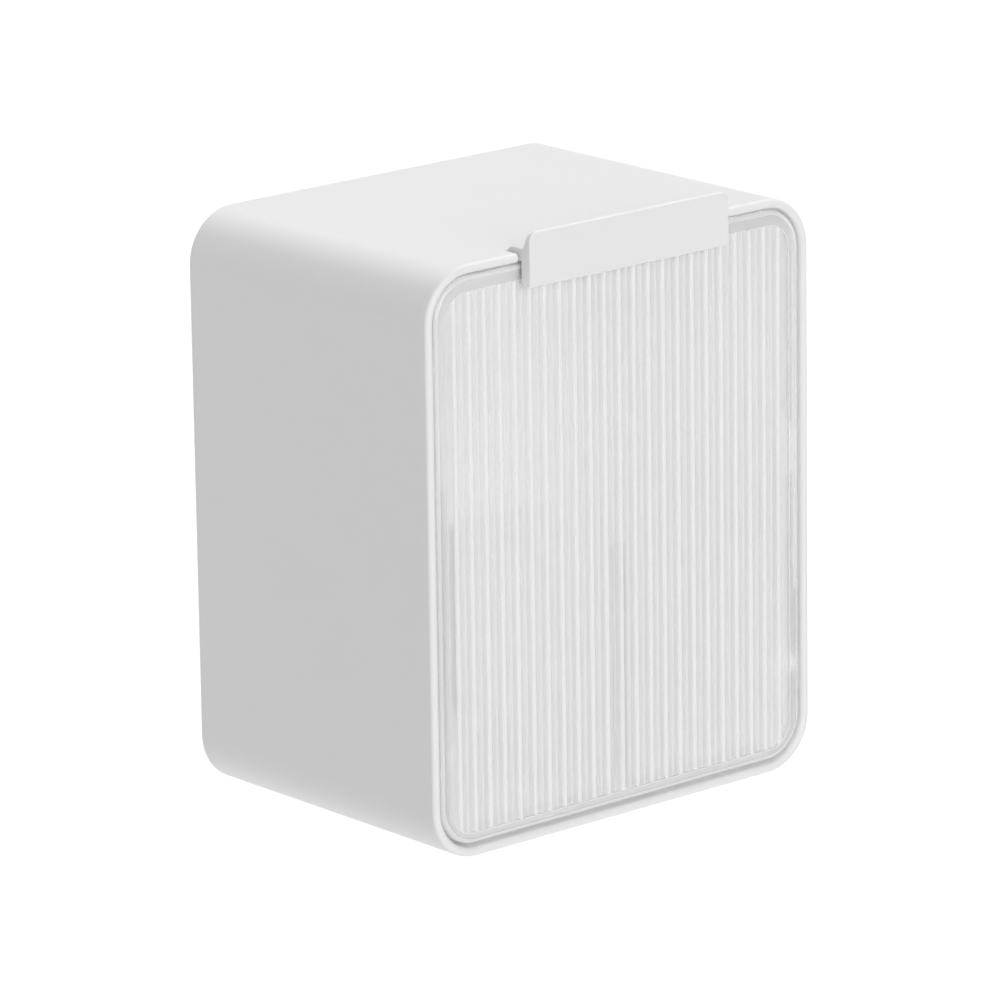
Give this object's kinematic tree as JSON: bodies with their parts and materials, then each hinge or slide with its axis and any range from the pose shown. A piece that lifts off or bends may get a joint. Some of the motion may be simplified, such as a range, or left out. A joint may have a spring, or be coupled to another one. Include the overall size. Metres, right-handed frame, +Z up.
{
  "type": "wall-hung cotton swab box",
  "caption": "Wall-hung storage box: white rounded shell, clear reeded front with a pull tab on a tilt-out bin, lift-out divider and adhesive wall plate.",
  "frame": {"origin": "middle of the adhesive pad's face on the wall", "axes": "+X to the right seen from the front, +Y into the wall, +Z up"},
  "size_m": [0.101, 0.0763, 0.1245],
  "materials": {
    "shell_abs": "moulded white ABS, satin",
    "clear_front": "moulded clear polystyrene, polished, with low vertical reeds",
    "clear_bin": "moulded clear polystyrene, polished",
    "clear_sheet": "clear polystyrene plate, polished",
    "tab_abs": "moulded white ABS, fine satin",
    "pin_nylon": "natural white nylon",
    "plate_abs": "moulded white ABS, matt",
    "foam_pad": "acrylic foam tape"
  },
  "bodies": {
    "wall_mount": {"wall_plate": "plate_abs", "adhesive_pad": "foam_pad"},
    "housing": {"shell": "shell_abs", "pivot_pin_left": "pin_nylon", "pivot_pin_right": "pin_nylon"},
    "bin": {"tilt_bin": "clear_bin", "front_panel": "clear_front", "pull_tab": "tab_abs"},
    "divider_plate": {"divider": "clear_sheet"}
  },
  "joints": [
    {"name": "shell_lift", "type": "slide", "parent": "wall_mount", "child": "housing", "axis": [0, 0, 1], "range_m": [0, 0.0085]},
    {"name": "bin_tilt", "type": "hinge", "parent": "housing", "child": "bin", "pos_m": [0, -0.0685, -0.045], "axis": [1, 0, 0], "range_deg": [0, 40]},
    {"name": "divider_lift", "type": "slide", "parent": "bin", "child": "divider_plate", "axis": [0, 0, 1], "range_m": [0, 0.052]}
  ]
}
